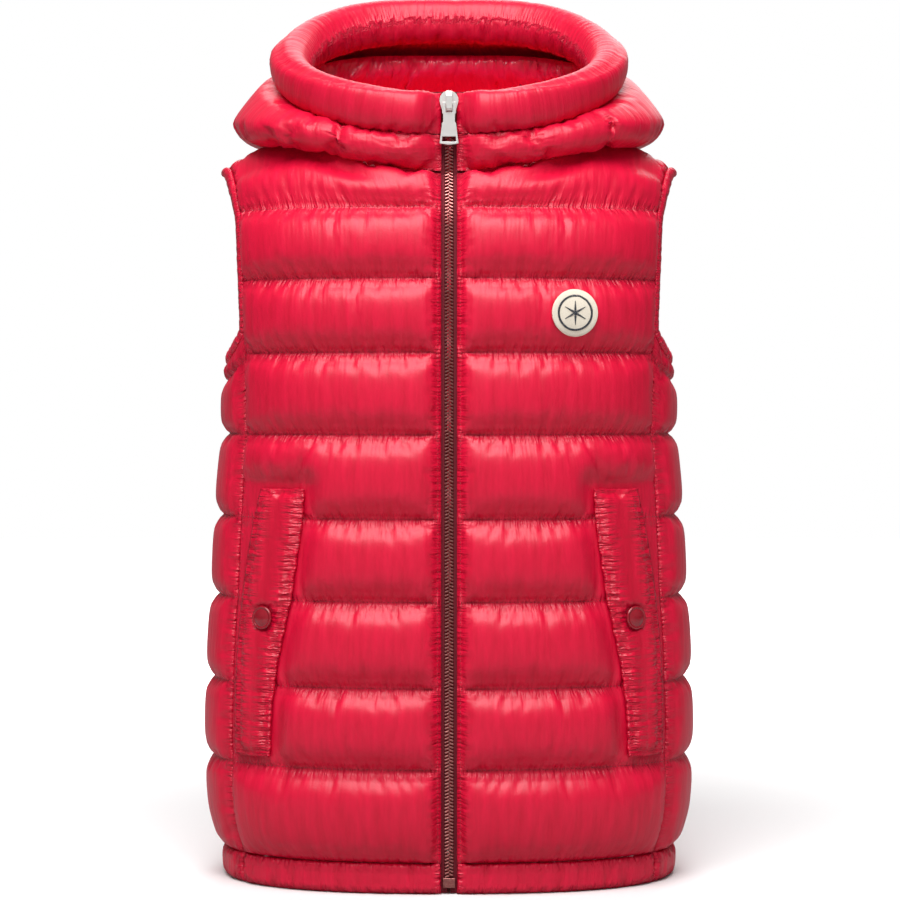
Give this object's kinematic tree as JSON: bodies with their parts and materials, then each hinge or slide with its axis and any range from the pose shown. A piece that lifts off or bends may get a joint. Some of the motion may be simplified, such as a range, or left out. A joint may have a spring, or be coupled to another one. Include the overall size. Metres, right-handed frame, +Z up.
{
  "type": "puffer vest",
  "caption": "Child's sleeveless hooded puffer vest: channel-quilted body, open-end zip, slanted snap pockets, bound armholes, banded hem.",
  "frame": {"origin": "the point between the shoulders where a wearer carries the vest, level with the shoulder seams' outer parts", "axes": "+Z up, the front faces -Y, the wearer's left is at +X"},
  "size_m": [0.3106, 0.2491, 0.5764],
  "materials": {
    "shell_nylon": "glossy calendered nylon, down filled",
    "lining_nylon": "thin glossy nylon, crumpled",
    "zip_tape": "woven polyester tape",
    "zip_teeth": "coated metal teeth",
    "polished_nickel": "polished nickel plating",
    "enamel_snap": "glossy enamel",
    "felt": "wool felt with stitched edge"
  },
  "bodies": {
    "vest": {"front_left": "shell_nylon", "front_right": "shell_nylon", "back": "shell_nylon", "hem_front_left": "shell_nylon", "hem_front_right": "shell_nylon", "hem_back": "shell_nylon", "hood_shell": "shell_nylon", "hood_rim": "shell_nylon", "hood_lining": "lining_nylon", "armhole_binding_left": "shell_nylon", "armhole_binding_right": "shell_nylon", "pocket_flap_left": "shell_nylon", "pocket_flap_right": "shell_nylon", "snap_left": "enamel_snap", "snap_right": "enamel_snap", "zip_tape_left": "zip_tape", "zip_tape_right": "zip_tape", "zip_chain": "zip_teeth", "zip_box": "zip_teeth", "zip_slider": "polished_nickel", "chest_patch": "felt"},
    "pull": {"zip_pull": "polished_nickel"}
  },
  "joints": [
    {"name": "pull_swing", "type": "hinge", "parent": "vest", "child": "pull", "pos_m": [0, -0.0761, 0.0217], "axis": [-1, 0, 0], "range_deg": [0, 140]}
  ]
}
